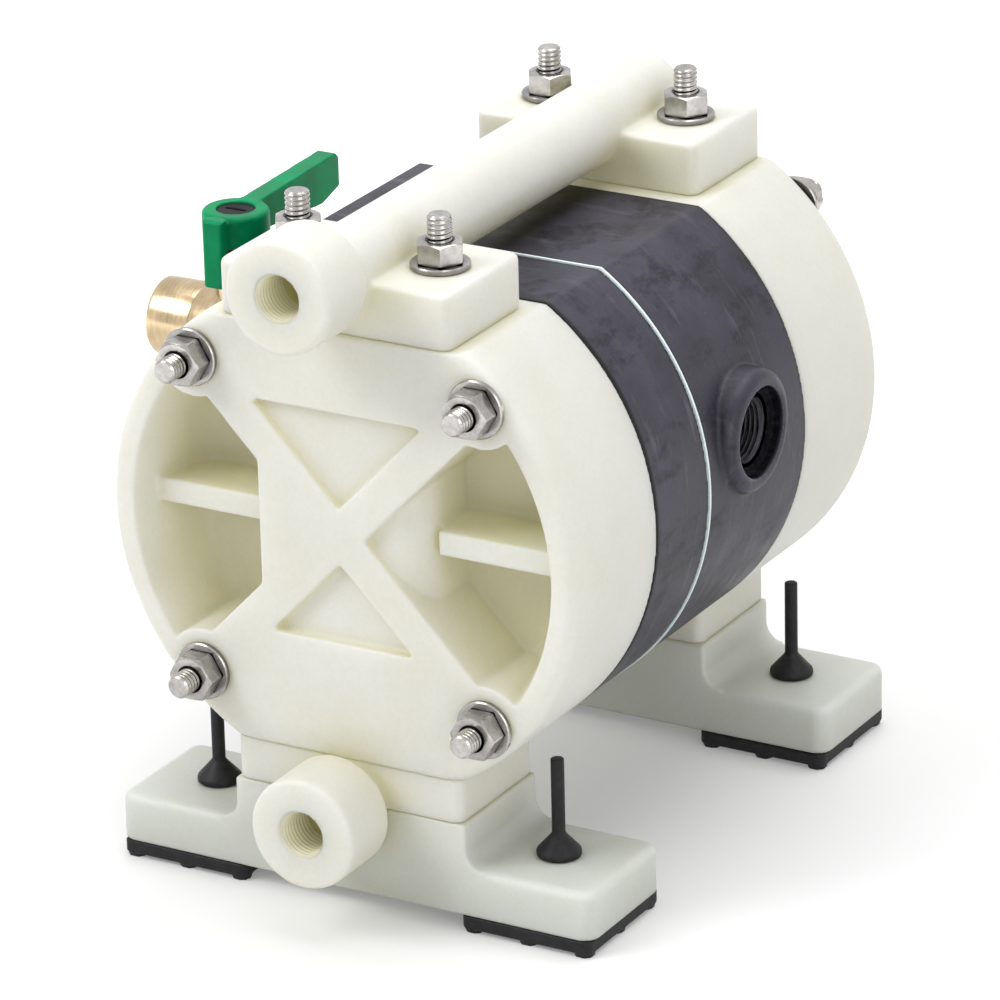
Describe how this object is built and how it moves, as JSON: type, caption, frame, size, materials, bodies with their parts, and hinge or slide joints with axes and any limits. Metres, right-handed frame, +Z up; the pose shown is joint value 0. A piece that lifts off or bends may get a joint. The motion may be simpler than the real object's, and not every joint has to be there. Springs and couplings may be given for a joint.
{
  "type": "air operated diaphragm pump",
  "caption": "Plastic air operated double diaphragm pump with ribbed out chambers, a dark centre body, upper and lower manifolds, feet on rubber pads and a brass ball valve on the air inlet",
  "frame": {"origin": "on the ground under the middle of the pump's bounding box", "axes": "+Z up; Y is the pump axis, with the manifold ports towards -Y and the blind manifold ends towards +Y; +X is the exhaust side and -X the air inlet side"},
  "size_m": [0.1792, 0.2036, 0.1873],
  "materials": {
    "natural_polypropylene": "satin moulded, translucent ivory",
    "filled_polypropylene": "satin moulded, dark slate with fine flow marks",
    "pale_gasket": "smooth sheet",
    "black_rubber": "moulded rubber",
    "stainless": "cold formed stainless",
    "white_fluoropolymer": "turned, waxy white",
    "inner_plastic": "moulded",
    "brass": "turned and tumbled",
    "chromed_ball": "polished",
    "green_nylon": "satin moulded",
    "black_cap": "moulded"
  },
  "bodies": {
    "frame": {"front_out_chamber": "natural_polypropylene", "rear_out_chamber": "natural_polypropylene", "body_front": "filled_polypropylene", "body_main": "filled_polypropylene", "body_gasket": "pale_gasket", "discharge_manifold": "natural_polypropylene", "suction_manifold": "natural_polypropylene", "front_foot": "natural_polypropylene", "rear_foot": "natural_polypropylene", "rubber_feet": "black_rubber", "tie_rods": "stainless", "tie_rod_washers": "stainless", "tie_rod_nuts": "stainless", "manifold_studs": "stainless", "manifold_stud_washers": "stainless", "manifold_stud_nuts": "stainless", "foot_bolts": "stainless", "foot_bolt_washers": "stainless", "suction_valve_seats": "inner_plastic", "discharge_valve_seats": "inner_plastic", "suction_ball_cages": "inner_plastic", "discharge_ball_cages": "inner_plastic", "suction_joint_seals": "white_fluoropolymer", "discharge_joint_seals": "white_fluoropolymer", "front_diaphragm": "black_rubber", "rear_diaphragm": "black_rubber", "rod_bushes": "inner_plastic", "rod_packings": "black_rubber", "pilot_rings": "black_rubber", "spool_sleeve": "stainless", "spool_caps": "inner_plastic", "air_valve_body": "brass", "air_valve_end": "brass", "air_valve_seats": "white_fluoropolymer", "air_valve_packing": "white_fluoropolymer", "air_valve_gland": "brass"},
    "lever": {"air_valve_lever": "green_nylon", "air_valve_lever_cap": "black_cap", "air_valve_stem": "brass", "air_valve_ball": "chromed_ball"},
    "shuttle": {"centre_rod": "stainless", "inner_discs": "stainless", "outer_discs": "inner_plastic"},
    "pilot": {"pilot_shaft": "stainless"},
    "spool": {"spool": "inner_plastic"},
    "front_suction_ball": {"front_suction_ball": "white_fluoropolymer"},
    "front_discharge_ball": {"front_discharge_ball": "white_fluoropolymer"},
    "rear_suction_ball": {"rear_suction_ball": "white_fluoropolymer"},
    "rear_discharge_ball": {"rear_discharge_ball": "white_fluoropolymer"}
  },
  "joints": [
    {"name": "lever_turn", "type": "hinge", "parent": "frame", "child": "lever", "pos_m": [-0.06635, 0.01625, 0.1118], "axis": [0, 0, 1], "range_deg": [0, 90]},
    {"name": "shuttle_slide", "type": "slide", "parent": "frame", "child": "shuttle", "axis": [0, 1, 0], "range_m": [-0.004, 0.004], "deforming": ["front_diaphragm", "rear_diaphragm"]},
    {"name": "pilot_slide", "type": "slide", "parent": "frame", "child": "pilot", "axis": [0, 1, 0], "range_m": [-0.0014, 0.0014]},
    {"name": "spool_slide", "type": "slide", "parent": "frame", "child": "spool", "axis": [0, 1, 0], "range_m": [0, 0.0058]},
    {"name": "front_suction_ball_lift", "type": "slide", "parent": "frame", "child": "front_suction_ball", "axis": [0, 0, 1], "range_m": [0, 0.004]},
    {"name": "front_discharge_ball_lift", "type": "slide", "parent": "frame", "child": "front_discharge_ball", "axis": [0, 0, 1], "range_m": [0, 0.004]},
    {"name": "rear_suction_ball_lift", "type": "slide", "parent": "frame", "child": "rear_suction_ball", "axis": [0, 0, 1], "range_m": [0, 0.004]},
    {"name": "rear_discharge_ball_lift", "type": "slide", "parent": "frame", "child": "rear_discharge_ball", "axis": [0, 0, 1], "range_m": [0, 0.004]}
  ],
  "couplings": [
    {"joint": "pilot_slide", "follows": "shuttle_slide", "ratio": 0.35}
  ]
}
